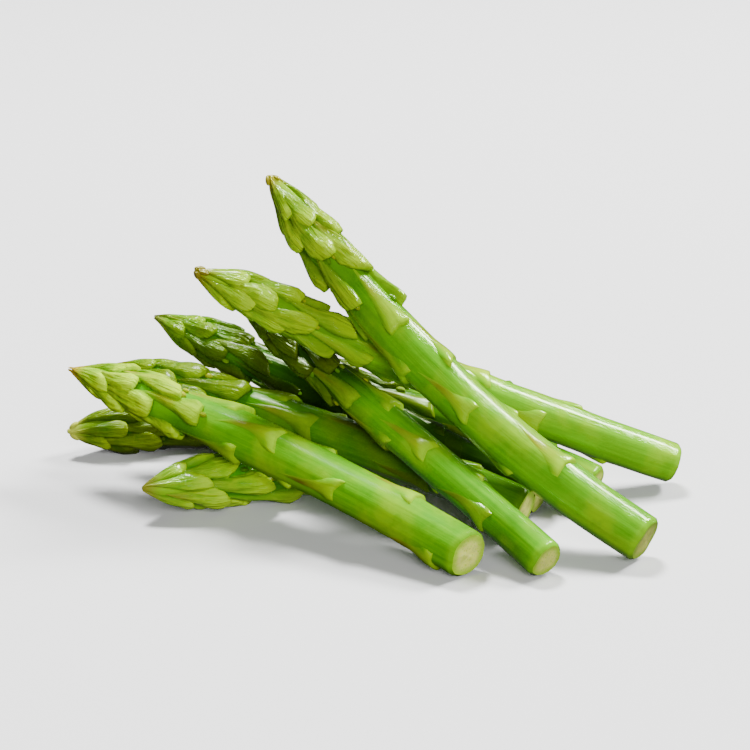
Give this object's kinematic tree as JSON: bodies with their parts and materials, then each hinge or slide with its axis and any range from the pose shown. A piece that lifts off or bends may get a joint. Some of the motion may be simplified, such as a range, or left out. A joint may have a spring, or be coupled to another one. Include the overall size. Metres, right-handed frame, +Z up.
{
  "type": "bundle of asparagus",
  "caption": "Loose pile of trimmed green asparagus spears with scaly pointed heads, crossing one another and resting on a flat surface.",
  "frame": {"origin": "centre of the footprint of the whole pile, on the surface it rests on", "axes": "+Z up; +X to the right in the picture, from the heads on the left to the cut ends on the right; +Y away from the viewer"},
  "size_m": [0.1921, 0.1348, 0.0965],
  "materials": {
    "spear_front_green": "moist satin skin",
    "spear_second_green": "moist satin skin",
    "spear_middle_green": "moist satin skin",
    "spear_crossing_green": "moist satin skin",
    "spear_top_green": "moist satin skin",
    "spear_back_green": "moist satin skin",
    "spear_low_front_green": "moist satin skin",
    "spear_low_left_green": "moist satin skin",
    "spear_inner_green": "moist satin skin"
  },
  "bodies": {
    "root": {"spear_front": "spear_front_green", "spear_second": "spear_second_green", "spear_middle": "spear_middle_green", "spear_crossing": "spear_crossing_green", "spear_top": "spear_top_green", "spear_back": "spear_back_green", "spear_low_front": "spear_low_front_green", "spear_low_left": "spear_low_left_green", "spear_inner": "spear_inner_green"}
  },
  "joints": []
}
